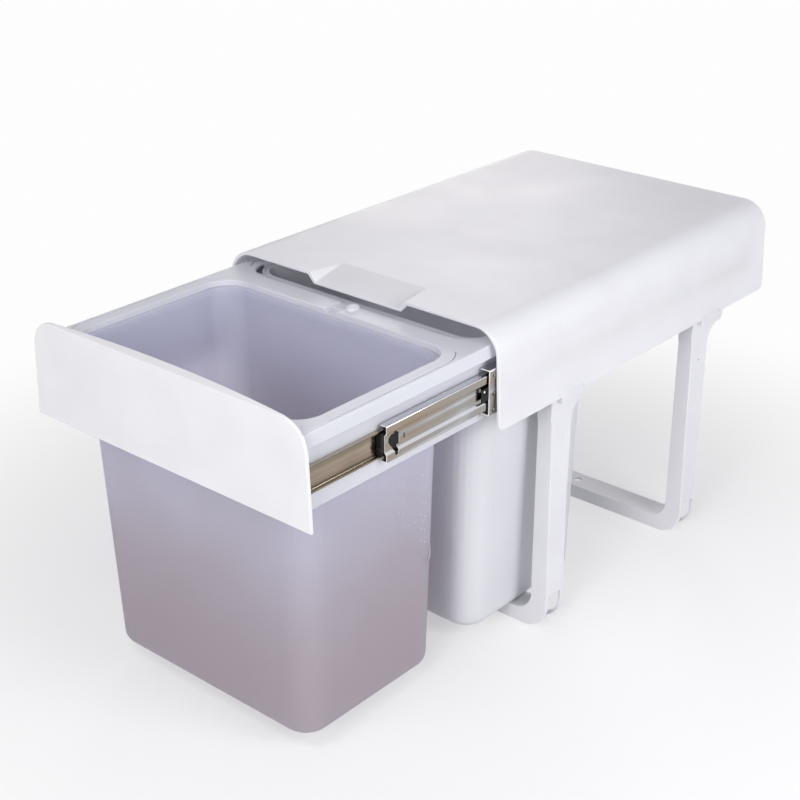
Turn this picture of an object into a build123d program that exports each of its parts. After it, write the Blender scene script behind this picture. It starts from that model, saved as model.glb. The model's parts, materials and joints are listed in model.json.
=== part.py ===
from build123d import *
import os

# Pull-out twin waste bin unit for a floor cupboard, built in millimetres.
# X runs across (right is +X, seen from the front), Y from front to rear, Z up from the floor.
# While it is built, y = 0 is the cover's front edge. The written parts are moved so that the
# origin lies on the floor, at the centre of the four floor screws.
# The drawer is drawn where it stands when it is half out: PULL is how far it has travelled.

# ---- driving dimensions -----------------------------------------------------------------
PULL = 234.0                 # how far the drawer stands out of its closed place
MID_RATIO = 0.6              # travel of a slide's middle member, as a share of the drawer's
OUTER_CAGE_RATIO = MID_RATIO / 2
INNER_CAGE_RATIO = (MID_RATIO + 1) / 2

COVER_LENGTH = 480.0
COVER_TOP = 360.0
SKIRT_BOTTOM = 262.0
HALF_WIDTH_TOP = 169.8       # where the skirt's plane would meet the top
HALF_WIDTH_BOTTOM = 174.0
COVER_RADIUS = 28.0
COVER_WALL = 3.2
SKIRT_CORNER = 8.0

RECESS_DEPTH = 8.5           # thumb recess in the front edge of the cover
RECESS_LENGTH = 40.0
RECESS_FLOOR = 52.4          # half-widths
RECESS_MOUTH = 60.5
RECESS_BACK = 53.0
RECESS_WALL = 3.0
RECESS_ROUNDING = 1.4
EDGE_ROUNDING = 1.0          # of the mouldings' outer edges

HOOP_FRONTS = {"front_leg_hoop": 91.5, "rear_leg_hoop": 346.0}
HOOP_TOP = 268.0
HOOP_TOP_HALF = 167.8
HOOP_FOOT_HALF = 171.0
HOOP_CORNER = 29.0
WINDOW_HALF = 151.0
WINDOW_CORNER = 22.0
CROSSBAR_HEIGHT = 16.0
HOOP_FOOT_DEPTH = 30.5
HOOP_WAIST = (28.5, 45.0, 150.0)     # depth of the slimmest part, from and to which height
HOOP_HEAD_DEPTH = 59.5
HOOP_NECK = (32.6, 247.0)    # depth and height of the corner under the flared head
SHOULDER = 1.2               # the head stands this much ahead of the upright
SHOULDER_Z = (232.0, 238.0)  # where the step to the head starts and ends
HOOP_WALL = 2.4
WINDOW_FLARE = 6.0           # the window narrows this much under the cover
FLARE_Z = 250.0
RIB = 1.6                    # ribs inside the hollow leg, at a height or at a half-width
RIB_DEPTH = 24.0
HOOP_RIBS = ((None, 225.0), (None, 165.0), (None, 105.0), (60.0, None), (105.0, None))
CLIP = (7.2, 41.8, 255.5, 265.5)   # first and last depth, bottom and top of a snap tab
CLIP_PLAY = 0.2
SEE_IN = (4.0, 24.0, 40.0)   # first and last depth, top of the cut in the foot's corner
FLOOR_HOLE_X = 22.0
FLOOR_HOLE_DEPTH = 15.25     # behind a hoop's front face
FLOOR_HOLE_R = 2.25
DRIVER_HOLE_R = 5.0          # above each floor hole, through the crossbar's top wall
HOOP_SWEEP = (-5.0, 70.0)    # a hoop is cut from a prism this deep
ACROSS = (-200.0, 200.0)     # wider than the unit, for cuts right across

SLIDE_Z = 301.7              # mid height of the slides
OUTER_X = (157.0, 167.8)
OUTER_HALF = 22.5
OUTER_Y = (-8.0, 442.0)
OUTER_GAUGE = 1.2
OUTER_LIP = 0.9              # how far the outer member's edges turn in
FRONT_HOLES = (1.6, -2.5, (16.7, -1.4, -17.5))   # radius, depth, heights above the middle
SLIDE_SCREW_Y = (28.0, 130.0, 232.0, 334.0, 424.0)
SLIDE_SCREW_TIP = 171.0
SLIDE_SCREW_R = (2.0, 3.4)   # thread, head
SCREW_PLAY = 0.05            # a screw's hole is this much larger all round
REAR_STOP_Y = (440.6, 445.6)
SCREW_PAD = ((OUTER_X[1], 170.5), (12.0, 440.0), (SLIDE_Z - 12, SLIDE_Z + 12))
MID_X = (157.5, 165.2)
MID_HALF = 17.2
MID_GAUGE = 1.0
MID_STEP = 2.2               # how far the middle of its web is pressed in
MID_STEP_HALF = (9.8, 7.6)   # where the pressed-in band starts and ends, above the middle
MID_Y = (-4.1, 439.9)        # closed
KEY_HOLE = (                 # depth behind the member's front end, height above its middle
    (6.0, -2.6), (4.0, 1.0), (4.6, 4.4), (7.5, 6.4), (11.6, 6.7), (11.9, 9.6), (13.6, 10.6),
    (15.8, 9.4), (16.0, 6.4), (18.4, 5.6), (18.4, -4.9), (15.2, -5.4), (16.0, -9.5),
    (15.0, -12.2), (12.8, -13.8), (10.6, -12.6), (10.4, -9.4), (8.6, -5.4))
RIVET_HOLES = ((1.3, 25.0, 0.9), (1.3, 25.0, -0.9), (3.2, 424.0, 0.0))   # radius, depth, height
BUMPER_X = (156.7, 160.4)    # the key inside the inner member starts, the body starts
BUMPER_REACH = 15.8          # half-height of the bumper's body
BUMPER_KEY = 10.6            # half-height of the part that enters the inner member
BUMPER_SET_BACK = 1.0        # the body starts this far behind the middle member's end
BUMPER_NOSE = 4.2            # how far its key stands ahead of the middle member
BUMPER_KNOB = (2.4, 5.5, -4.5)       # radius, how far ahead, height against the slide's middle
BUMPER_LENGTH = 18.8
BUMPER_ROUNDING = 0.6
INNER_X = (155.1, 159.9)
INNER_HALF = 12.4
INNER_GAUGE = 1.2
INNER_Y = (-4.0, 440.0)      # closed
DRAWER_SCREW_Y = (104.0, 262.0, 420.0)   # closed
DRAWER_SCREW_TIP = 149.5
CAGE_GAUGE = 0.8
OUTER_BALLS = dict(x=161.5, half=19.25, r=1.75, first=130.0, last=302.0, count=9)   # closed
INNER_BALLS = dict(x=158.3, half=14.3, r=1.6, first=110.0, last=344.0, count=12)    # closed
CAGE_END = 4.5               # cage beyond its last ball
BALL_PLAY = 0.15
OUTER_CAGE_X = (158.5, 165.5, 166.3)     # flange's end, web's inner and outer face
INNER_CAGE_X = (155.9, 160.5, 161.4)
NOSE_FRONT = 52.2            # closed
NOSE_HALF = 6.5
NOSE_BALL = (164.85, 57.2, 3.0, 1.6)     # place closed, height above the middle, radius

FRAME_Y = (-10.0, 446.0)     # closed
FRAME_TOP = 344.2
FRAME_PLATE = 2.8
FRAME_HALF = 160.0
RIDGE = (162.5, 332.0)       # half-width and height of the fascia's lower edge
RAIL_X = (152.5, 155.0)
RAIL_BOTTOM = 272.0
BAND = (156.2, 286.0)        # half-width and top of the rail's lower band
OPENING_HALF = 143.5
OPENING_CORNER = 27.0
OPENINGS = ((7.0, 203.0), (239.0, 435.0))   # closed
COLLAR = 2.5
COLLAR_BOTTOM = 333.5
LEDGE = 2.2
LEDGE_TOP = 335.9
CROSSBAR_REAR = 226.5        # closed; behind it a lower shelf gives room for the fingers
CROSSBAR_SKIRT = 312.0       # bottom of the wall under the crossbar's rear edge
SHELF_TOP = 339.0
FRAME_WALL = 2.5
REAR_WALL_BOTTOM = 310.0
FRAME_CORNER = 5.0
SLOT = (12.7, 1.2, 1.8)      # groove round an opening: how far out, width, depth
SLOT_FROM_X = 146.0          # the groove fades out nearer to the middle
SADDLE = ((-13.0, 3.0), 1.8)     # dip across the crossbar: limits and depth
POCKET = ((-11.0, 2.0), (198.0, 215.0), 4.0)     # notch for the thumb: limits and depth
POCKET_TRAY = ((-13.0, 4.0), (203.0, 217.0), (338.2, 343.2))
LUG = (9.5, 218.8, 11.0, 15.0, 5.4, 3.3)     # x, y, width, depth, corner, rise
LUG_ROUNDING = 2.4
BOSS_R = 4.5                 # screw bosses of rail and panel

PANEL_THICKNESS = 3.0
PANEL_BOTTOM = 263.5
LIP_DEPTH = 8.5
LIP_HALF = 147.0
LIP_THICKNESS = 3.0
PANEL_SCREW_X = (-120.0, -40.0, 40.0, 120.0)
PANEL_SCREW_Z = 295.0
PANEL_SCREW = (2.0, 5.6, 1.4, 3.6, 2.0)      # thread, head, depth in plate, boss height, head height

BIN_BOTTOM = 17.0
BIN_WALL = 2.2
RIM_TOP = 339.0
RIM_OVERHANG = 1.9
BIN_CORNER = 26.0
BIN_EDGE = 13.0
BIN_PLAY = 0.4               # between a bin's rim and the frame
RIM_ROUNDING = 0.9
BIN_HALF_BOTTOM = 131.8
BIN_FRONT_DRAFT = 9.5
BIN_REAR_DRAFT = 1.8

PATTERN_Y = sum(HOOP_FRONTS.values()) / 2 + FLOOR_HOLE_DEPTH
DRAWER_SHIFT = Pos(0, -PULL, 0)
MID_SHIFT = Pos(0, -PULL * MID_RATIO, 0)
OUTER_CAGE_SHIFT = Pos(0, -PULL * OUTER_CAGE_RATIO, 0)
INNER_CAGE_SHIFT = Pos(0, -PULL * INNER_CAGE_RATIO, 0)


# ---- helpers ------------------------------------------------------------------------------
def block(x, y, z):
    """Return a block between pairs of limits."""
    centre = [(low + high) / 2 for low, high in (x, y, z)]
    return Pos(*centre) * Box(*[high - low for low, high in (x, y, z)])


def outline(corners):
    """Return a flat outline from corners given as (u, v) or (u, v, radius)."""
    shape = Polygon(*[corner[:2] for corner in corners], align=None)
    for u, v, *radius in corners:
        if radius:
            shape = fillet(shape.vertices().sort_by_distance((u, v))[0], radius[0])
    return shape


def along_y(section, first, last):
    """Return a prism along Y from a section drawn in X and Z."""
    return extrude(Plane.XZ.offset(-first) * section, amount=last - first, dir=(0, 1, 0))


def along_x(section, first, last):
    """Return a prism along X from a section drawn in Y and Z."""
    return extrude(Plane.YZ.offset(first) * section, amount=last - first, dir=(1, 0, 0))


def along_z(section, first, last):
    """Return a prism along Z from a section drawn in X and Y."""
    return extrude(Pos(0, 0, first) * section, amount=last - first, dir=(0, 0, 1))


def rounded(half, y, corner):
    """Return a rectangle in plan, centred across, with rounded corners."""
    return Pos(0, sum(y) / 2) * RectangleRounded(2 * half, y[1] - y[0], corner)


def pin_x(radius, x, y, z):
    """Return a cylinder along X between two limits."""
    return Pos(sum(x) / 2, y, z) * Rot(0, 90, 0) * Cylinder(radius, x[1] - x[0])


def pin_y(radius, x, y, z):
    """Return a cylinder along Y between two limits."""
    return Pos(x, sum(y) / 2, z) * Rot(90, 0, 0) * Cylinder(radius, y[1] - y[0])


def section_at_slide(points):
    """Return a slide section from (x, height above the slide's middle) points."""
    return outline([(x, SLIDE_Z + z, *radius) for x, z, *radius in points])


def other_side(shape):
    """Return the left-hand twin of a right-hand piece."""
    return mirror(shape, about=Plane.YZ)


def edges_at(shape, axis, place):
    """Return the edges that lie in the plane square to an axis at a place."""
    across = Plane(origin=axis.direction * place, z_dir=axis.direction)
    return shape.edges().filter_by(lambda edge: all(
        abs(across.to_local_coords(edge.position_at(share)).Z) < 0.01 for share in (0, 0.3, 0.6, 1)))


# ---- housing: cover and legs --------------------------------------------------------------
def cover_section(inset, bottom):
    """Return the cover's arch, inset by a wall."""
    top = COVER_TOP - inset
    corner = COVER_RADIUS - inset
    return outline([
        (-HALF_WIDTH_BOTTOM + inset, bottom), (-HALF_WIDTH_TOP + inset, top, corner),
        (HALF_WIDTH_TOP - inset, top, corner), (HALF_WIDTH_BOTTOM - inset, bottom)])


def recess(drop, rise, length):
    """Return the wedge of the thumb recess, lowered by its own wall and widened as much."""
    floor = COVER_TOP - RECESS_DEPTH - drop
    slope = (RECESS_MOUTH - RECESS_FLOOR) / RECESS_DEPTH
    taper = (RECESS_MOUTH - RECESS_BACK) / RECESS_LENGTH

    def plan(z):
        front = RECESS_FLOOR + drop + (z - floor) * slope
        back = front - taper * length
        corners = (-front, 0), (front, 0), (back, length), (-back, length)
        return Plane.XY.offset(z) * Polygon(*corners, align=None)

    sides = loft([plan(floor), plan(COVER_TOP + rise)], ruled=True)
    rear_floor = floor + RECESS_DEPTH * length / RECESS_LENGTH
    side_view = outline([(0, floor), (length, rear_floor), (length, COVER_TOP + 20), (0, COVER_TOP + 20)])
    return sides & along_x(side_view, *ACROSS)


def in_recess(edge):
    """Tell whether an edge bounds the thumb recess behind the cover's rim."""
    limits, centre = edge.bounding_box(), edge.center()
    inside = abs(centre.X) < RECESS_MOUTH and 0.5 < centre.Y < RECESS_LENGTH + 1
    return inside and limits.min.Z > COVER_TOP - RECESS_DEPTH - 0.1


def housing_cover():
    """Return the arched cover, open in front and behind."""
    shell = along_y(cover_section(0, SKIRT_BOTTOM), 0, COVER_LENGTH)
    shell -= along_y(cover_section(COVER_WALL, SKIRT_BOTTOM - 1), -1, COVER_LENGTH + 1)
    side_view = outline([(0, SKIRT_BOTTOM, SKIRT_CORNER), (COVER_LENGTH, SKIRT_BOTTOM, SKIRT_CORNER),
                         (COVER_LENGTH, COVER_TOP + 1), (0, COVER_TOP + 1)])
    shell &= along_x(side_view, *ACROSS)
    backing = recess(RECESS_WALL, -1, RECESS_LENGTH + 9)
    shell += backing
    shell -= recess(0, 1, RECESS_LENGTH)
    shell = fillet([edge for edge in shell.edges() if in_recess(edge)], RECESS_ROUNDING)
    shell = fillet(edges_at(shell, Axis.Y, 0) + edges_at(shell, Axis.Y, COVER_LENGTH), EDGE_ROUNDING)
    pad = block(*SCREW_PAD)
    for y in SLIDE_SCREW_Y:
        hole = screw_across(y, SCREW_PLAY)
        pad -= hole
        shell = shell - hole - other_side(hole)
    shell += pad + other_side(pad)
    for front in HOOP_FRONTS.values():
        notch = block(ACROSS, (front + CLIP[0] - CLIP_PLAY, front + CLIP[1] + CLIP_PLAY),
                      (SKIRT_BOTTOM - 5, CLIP[3]))
        shell -= notch
    return shell


def hoop_outer(inset, top):
    """Return the hoop's outer outline seen from the front, inset by its wall."""
    return outline([
        (-HOOP_TOP_HALF + inset, top), (-HOOP_FOOT_HALF + inset, inset, HOOP_CORNER - inset),
        (HOOP_FOOT_HALF - inset, inset, HOOP_CORNER - inset), (HOOP_TOP_HALF - inset, top)])


def hoop_window(inset, top):
    """Return the outline of the hoop's window, widened by its wall."""
    half = WINDOW_HALF + inset
    neck = half - WINDOW_FLARE
    sill = CROSSBAR_HEIGHT - inset
    return outline([
        (-neck, top + 1), (-neck, FLARE_Z + WINDOW_FLARE, 5), (-half, FLARE_Z, 5),
        (-half, sill, WINDOW_CORNER + inset), (half, sill, WINDOW_CORNER + inset),
        (half, FLARE_Z, 5), (neck, FLARE_Z + WINDOW_FLARE, 5), (neck, top + 1)])


def hoop_side_view():
    """Return the hoop's side outline, with its flared head."""
    neck_y, neck_z = HOOP_NECK
    waist, waist_low, waist_high = HOOP_WAIST
    step_low, step_high = SHOULDER_Z
    return outline([
        (0, -1), (0, step_low, 4), (-SHOULDER, step_high, 4), (-SHOULDER, HOOP_TOP),
        (HOOP_HEAD_DEPTH, HOOP_TOP), (HOOP_HEAD_DEPTH, neck_z, 8), (neck_y, neck_z, 18),
        (waist, waist_high, 150), (waist, waist_low, 100), (HOOP_FOOT_DEPTH, -1)])


def leg_hoop(front):
    """Return one leg: two uprights and their crossbar, a moulding open to the rear."""
    body = along_y(hoop_outer(0, HOOP_TOP) - hoop_window(0, HOOP_TOP), *HOOP_SWEEP)
    roof = HOOP_TOP - HOOP_WALL
    hollow = along_y(hoop_outer(HOOP_WALL, roof) - hoop_window(HOOP_WALL, roof), HOOP_WALL, 71)
    for x, z in HOOP_RIBS:
        for side in (1, -1):
            if x is None:
                hollow -= block(ACROSS, (0, RIB_DEPTH), (z - RIB / 2, z + RIB / 2))
            else:
                hollow -= block((side * x - RIB / 2, side * x + RIB / 2), (0, RIB_DEPTH), (-1, 20))
    body &= along_x(hoop_side_view(), *ACROSS)
    body = fillet(edges_at(body, Axis.Y, 0) + edges_at(body, Axis.Y, -SHOULDER), EDGE_ROUNDING)
    body -= hollow
    outer_side = along_y(hoop_outer(0, HOOP_TOP) - hoop_window(HOOP_WALL, HOOP_TOP), -6, 71)
    for side in (1, -1):
        see_in = block((150, 180), SEE_IN[:2], (-1, SEE_IN[2])) & outer_side
        clip = block((165.4, HALF_WIDTH_BOTTOM - 0.15), CLIP[:2], CLIP[2:])
        clip = fillet(clip.faces().sort_by(Axis.X)[-1].edges(), 1.0)
        if side < 0:
            see_in = other_side(see_in)
            clip = other_side(clip)
        body = body - see_in + clip
        hole = Pos(side * FLOOR_HOLE_X, FLOOR_HOLE_DEPTH)
        body -= hole * Cylinder(FLOOR_HOLE_R, CROSSBAR_HEIGHT)
        body -= hole * along_z(Circle(DRIVER_HOLE_R), CROSSBAR_HEIGHT - HOOP_WALL - 1, CROSSBAR_HEIGHT + 1)
    return Pos(0, front, 0) * body


# ---- slides -------------------------------------------------------------------------------
def outer_member():
    """Return the fixed member, a wide channel open towards the drawer."""
    low, high = OUTER_X
    top = OUTER_HALF
    under = OUTER_HALF - OUTER_GAUGE
    lip = under - OUTER_LIP
    section = section_at_slide([
        (low, top, 0.5), (high, top, 1.6), (high, -top, 1.6), (low, -top, 0.5),
        (low, -lip), (low + 1, -lip), (low + 1, -under), (high - OUTER_GAUGE, -under, 0.4),
        (high - OUTER_GAUGE, under, 0.4), (low + 1, under), (low + 1, lip), (low, lip)])
    member = along_y(section, *OUTER_Y)
    radius, depth, heights = FRONT_HOLES
    for height in heights:
        member -= pin_x(radius, (OUTER_X[0], OUTER_X[1] + 1), depth, SLIDE_Z + height)
    for y in SLIDE_SCREW_Y:
        member -= screw_across(y, SCREW_PLAY)
    return member


def screw_across(y, play=0.0):
    """Return a countersunk screw along X, its head flush with the outer member's web."""
    thread, head = SLIDE_SCREW_R
    face = OUTER_X[1] - OUTER_GAUGE
    cone = Pos(face + OUTER_GAUGE / 2, y, SLIDE_Z) * Rot(0, 90, 0)
    cone *= Cone(head + play, thread + play, OUTER_GAUGE)
    return cone + pin_x(thread + play, (face + OUTER_GAUGE, SLIDE_SCREW_TIP + play), y, SLIDE_Z)


def outer_slide_screws():
    """Return the screws that hold both outer members, as separate solids."""
    right = [screw_across(y) for y in SLIDE_SCREW_Y]
    return Compound(children=right + [other_side(screw) for screw in right])


def rear_stop():
    """Return the plastic stop in the rear end of an outer member."""
    reach = OUTER_HALF - OUTER_GAUGE - 0.5
    return block((OUTER_X[0] + 1.1, OUTER_X[1] - OUTER_GAUGE), REAR_STOP_Y,
                 (SLIDE_Z - reach, SLIDE_Z + reach))


def middle_member():
    """Return the middle member, closed: its web is pressed in along the middle."""
    low, high = MID_X
    top, under = MID_HALF, MID_HALF - MID_GAUGE
    back = high - MID_GAUGE
    start, end = MID_STEP_HALF
    section = section_at_slide([
        (low, top), (high, top, 1.2), (high, start), (high - MID_STEP, end),
        (high - MID_STEP, -end), (high, -start), (high, -top, 1.2), (low, -top),
        (low, -under), (back, -under, 0.3), (back, -start - 0.4), (back - MID_STEP, -end - 0.4),
        (back - MID_STEP, end + 0.4), (back, start + 0.4), (back, under, 0.3), (low, under)])
    member = along_y(section, *MID_Y)
    front = MID_Y[0]
    across = (low - 1, high + 1)
    member -= along_x(outline([(front + y, SLIDE_Z + z) for y, z in KEY_HOLE]), *across)
    for radius, depth, height in RIVET_HOLES:
        member -= pin_x(radius, across, front + depth, SLIDE_Z + height)
    return member


def middle_bumper():
    """Return the plastic bumper in the middle member's front end, closed, with its key and knob."""
    front = MID_Y[0]
    rear = front + BUMPER_LENGTH
    start = front + BUMPER_SET_BACK
    web = MID_X[1] - MID_GAUGE - 0.05
    band = MID_STEP_HALF[0] + 0.8
    inside, outside = BUMPER_X[0], web - MID_STEP
    body = block((BUMPER_X[1], outside), (start, rear), (SLIDE_Z - BUMPER_REACH, SLIDE_Z + BUMPER_REACH))
    for side in (1, -1):
        z = sorted((SLIDE_Z + side * band, SLIDE_Z + side * BUMPER_REACH))
        body += block((BUMPER_X[1], web), (start, rear), z)
    key = block((inside, outside), (front - BUMPER_NOSE, rear), (SLIDE_Z - BUMPER_KEY, SLIDE_Z + BUMPER_KEY))
    radius, ahead, height = BUMPER_KNOB
    knob = pin_y(radius, (inside + outside) / 2, (front - ahead, rear), SLIDE_Z + height)
    for shape in (key, knob):
        body += fillet(shape.edges().group_by(Axis.Y)[0], BUMPER_ROUNDING)
    return body


def inner_member():
    """Return the member that carries the drawer, a narrow channel open outwards."""
    low, high = INNER_X
    top, under = INNER_HALF, INNER_HALF - INNER_GAUGE
    section = section_at_slide([
        (low, top, 1.2), (high, top), (high, under), (low + INNER_GAUGE, under, 0.3),
        (low + INNER_GAUGE, -under, 0.3), (high, -under), (high, -top), (low, -top, 1.2)])
    member = along_y(section, *INNER_Y)
    for y in DRAWER_SCREW_Y:
        member -= drawer_screw(y, SCREW_PLAY)
    return member


def drawer_screw(y, play=0.0):
    """Return a countersunk screw from an inner member into the drawer frame."""
    thread, head = SLIDE_SCREW_R
    cone = Pos(INNER_X[0] + INNER_GAUGE / 2, y, SLIDE_Z) * Rot(0, 90, 0)
    cone *= Cone(thread + play, head + play, INNER_GAUGE)
    return cone + pin_x(thread + play, (DRAWER_SCREW_TIP - play, INNER_X[0]), y, SLIDE_Z)


def inner_slide_screws():
    """Return the screws that hold both inner members, as separate solids."""
    right = [drawer_screw(y) for y in DRAWER_SCREW_Y]
    return Compound(children=right + [other_side(screw) for screw in right])


def ball_places(balls):
    """Yield the place of each ball in a cage's two rows."""
    pitch = (balls["last"] - balls["first"]) / (balls["count"] - 1)
    for row in (1, -1):
        for index in range(balls["count"]):
            yield balls["x"], balls["first"] + index * pitch, SLIDE_Z + row * balls["half"]


def ball_set(balls):
    """Return a cage's balls, closed, as separate solids."""
    return Compound(children=[Pos(*place) * Sphere(balls["r"]) for place in ball_places(balls)])


def cage(balls, limits):
    """Return a cage, closed: a thin channel with a pocket round each ball."""
    flange, web_inner, web_outer = limits
    reach = balls["half"] + CAGE_GAUGE / 2
    under = balls["half"] - CAGE_GAUGE / 2
    section = section_at_slide([
        (flange, reach), (web_outer, reach), (web_outer, -reach), (flange, -reach),
        (flange, -under), (web_inner, -under), (web_inner, under), (flange, under)])
    shape = along_y(section, balls["first"] - CAGE_END, balls["last"] + CAGE_END)
    for x, y, z in ball_places(balls):
        shape -= Pos(x, y, z) * Cylinder(balls["r"] + BALL_PLAY, 4)
    return shape


def outer_cage():
    """Return the cage between outer and middle member, with its long nose."""
    web = OUTER_CAGE_X[1:]
    nose = block(web, (NOSE_FRONT, OUTER_BALLS["first"]), (SLIDE_Z - NOSE_HALF, SLIDE_Z + NOSE_HALF))
    x, y, height, radius = NOSE_BALL
    nose -= pin_x(radius + BALL_PLAY, (web[0] - 1, web[1] + 1), y, SLIDE_Z + height)
    return cage(OUTER_BALLS, OUTER_CAGE_X) + nose


def outer_ball_set():
    """Return the outer cage's balls, with the single one in its nose."""
    x, y, height, radius = NOSE_BALL
    nose_ball = Pos(x, y, SLIDE_Z + height) * Sphere(radius)
    return Compound(children=[nose_ball, *ball_set(OUTER_BALLS).solids()])


def inner_cage():
    """Return the cage between middle and inner member."""
    return cage(INNER_BALLS, INNER_CAGE_X)


# ---- drawer, drawn closed -----------------------------------------------------------------
def rail_section():
    """Return the section of the frame's right-hand rail."""
    under = FRAME_TOP - FRAME_PLATE
    ridge_x, ridge_z = RIDGE
    fascia = 2.2
    return outline([
        (OPENING_HALF + 1, FRAME_TOP), (FRAME_HALF, FRAME_TOP, 1.2), (ridge_x, ridge_z, 0.8),
        (ridge_x - fascia, ridge_z), (FRAME_HALF - fascia, under), (RAIL_X[1], under),
        (RAIL_X[1], BAND[1] + 1), BAND, (BAND[0], RAIL_BOTTOM), (RAIL_X[0], RAIL_BOTTOM),
        (RAIL_X[0], under), (OPENING_HALF + 1, under)])


def ring(opening, inner, outer, z):
    """Return a band round an opening between two offsets from its edge."""
    def grown(offset):
        return rounded(OPENING_HALF + offset, (opening[0] - offset, opening[1] + offset),
                       OPENING_CORNER + offset)

    return along_z(grown(outer), *z) - along_z(grown(inner), z[0] - 1, z[1] + 1)


def slot_round(opening):
    """Return the groove along both sides of an opening and round its corners."""
    out, width, depth = SLOT
    groove = ring(opening, out, out + width, (FRAME_TOP - depth, FRAME_TOP + 1))
    return groove - block((-SLOT_FROM_X, SLOT_FROM_X), (opening[0] - 40, opening[1] + 40),
                          (FRAME_TOP - 10, FRAME_TOP + 10))


def crossbar_shapes(under):
    """Return what is added behind the crossbar and what is cut for it."""
    rear_opening = OPENINGS[1][0]
    cut = along_z(rounded(OPENING_HALF, (CROSSBAR_REAR, rear_opening + 76), OPENING_CORNER),
                  SHELF_TOP, FRAME_TOP + 1)
    behind = (CROSSBAR_REAR - FRAME_WALL, rear_opening)
    shelf = block((-OPENING_HALF - 4, OPENING_HALF + 4), behind, (SHELF_TOP - FRAME_WALL, SHELF_TOP))
    skirt = block((-RAIL_X[1] + 1, RAIL_X[1] - 1), (CROSSBAR_REAR - FRAME_WALL, CROSSBAR_REAR),
                  (CROSSBAR_SKIRT, under))
    return shelf + skirt, cut


def thumb_lug(under):
    """Return the rounded lug on the crossbar."""
    x, y, width, depth, corner, rise = LUG
    lug = along_z(Pos(x, y) * RectangleRounded(width, depth, corner), under, FRAME_TOP + rise)
    return fillet(lug.faces().sort_by(Axis.Z)[-1].edges(), LUG_ROUNDING)


def round_opening(edge):
    """Tell whether an edge of the frame's top bounds an opening or the thumb notch."""
    centre = edge.center()
    return abs(centre.X) < OPENING_HALF + 1 and FRAME_Y[0] + 1 < centre.Y < FRAME_Y[1] - 1


def drawer_frame():
    """Return the frame that the bins hang in."""
    under = FRAME_TOP - FRAME_PLATE
    front, rear = FRAME_Y
    plate = along_z(rounded(OPENING_HALF + 5, FRAME_Y, 1), under, FRAME_TOP)
    rail = along_y(rail_section(), front, rear)
    frame = (plate + rail + other_side(rail)) & along_z(
        rounded(RIDGE[0] + 0.5, FRAME_Y, FRAME_CORNER), RAIL_BOTTOM - 1, FRAME_TOP + 1)
    across = (-RAIL_X[1], RAIL_X[1])
    frame += block(across, (front, front + FRAME_WALL), (RAIL_BOTTOM, FRAME_TOP))
    frame += block(across, (rear - FRAME_WALL, rear), (REAR_WALL_BOTTOM, FRAME_TOP))
    for opening in OPENINGS:
        frame -= along_z(rounded(OPENING_HALF, opening, OPENING_CORNER), under - 1, FRAME_TOP + 1)
        collar = ring(opening, -LEDGE, COLLAR, (COLLAR_BOTTOM, LEDGE_TOP))
        frame += collar + ring(opening, 0, COLLAR, (LEDGE_TOP, under))
    added, cut = crossbar_shapes(under)
    frame = frame - cut + added + block(*POCKET_TRAY)
    frame -= block(*POCKET[:2], (FRAME_TOP - POCKET[2], FRAME_TOP + 1))
    rims = [edge for edge in edges_at(frame, Axis.Z, FRAME_TOP) if round_opening(edge)]
    frame = fillet(rims, EDGE_ROUNDING)
    for opening in OPENINGS:
        frame -= slot_round(opening)
    frame -= block(SADDLE[0], (OPENINGS[0][1] - 1, CROSSBAR_REAR + 1), (FRAME_TOP - SADDLE[1], FRAME_TOP + 1))
    frame += thumb_lug(under)
    for x in PANEL_SCREW_X:
        frame -= pin_y(BOSS_R + 0.2, x, (front - 1, front + 5), PANEL_SCREW_Z)
    for y in DRAWER_SCREW_Y:
        boss = pin_x(BOSS_R, (DRAWER_SCREW_TIP - 1, RAIL_X[0] + 1), y, SLIDE_Z)
        hole = drawer_screw(y, SCREW_PLAY)
        frame = frame + boss + other_side(boss) - hole - other_side(hole)
    return frame


def front_panel():
    """Return the handle plate: the cover's arch, with a lip along its top."""
    back = FRAME_Y[0]
    plate = along_y(cover_section(0, PANEL_BOTTOM), back - PANEL_THICKNESS, back)
    rise = LIP_DEPTH
    sagitta_radius = (LIP_HALF ** 2 + rise ** 2) / (2 * rise)
    disc = Pos(0, back + rise - sagitta_radius) * Circle(sagitta_radius)
    strip = Pos(0, back + rise / 2) * Rectangle(2 * LIP_HALF, rise + 1)
    lip = along_z(disc & strip, COVER_TOP - LIP_THICKNESS, COVER_TOP)
    lip &= along_y(cover_section(0, PANEL_BOTTOM), back - 2, back + rise + 1)
    panel = plate + lip
    panel = fillet(edges_at(panel, Axis.Y, back - PANEL_THICKNESS), EDGE_ROUNDING)
    thread, _, depth, height, _ = PANEL_SCREW
    for x in PANEL_SCREW_X:
        panel += pin_y(BOSS_R, x, (back, back + height), PANEL_SCREW_Z)
        panel -= pin_y(thread, x, (back - depth, back + height + 1), PANEL_SCREW_Z)
    return panel


def panel_screws():
    """Return the screws that hold the panel, as separate solids."""
    back = FRAME_Y[0]
    thread, head_radius, depth, height, head_height = PANEL_SCREW
    screws = []
    for x in PANEL_SCREW_X:
        head = pin_y(head_radius, x, (back + height, back + height + head_height), PANEL_SCREW_Z)
        screws.append(head + pin_y(thread, x, (back - depth, back + height), PANEL_SCREW_Z))
    return Compound(children=screws)


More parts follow.
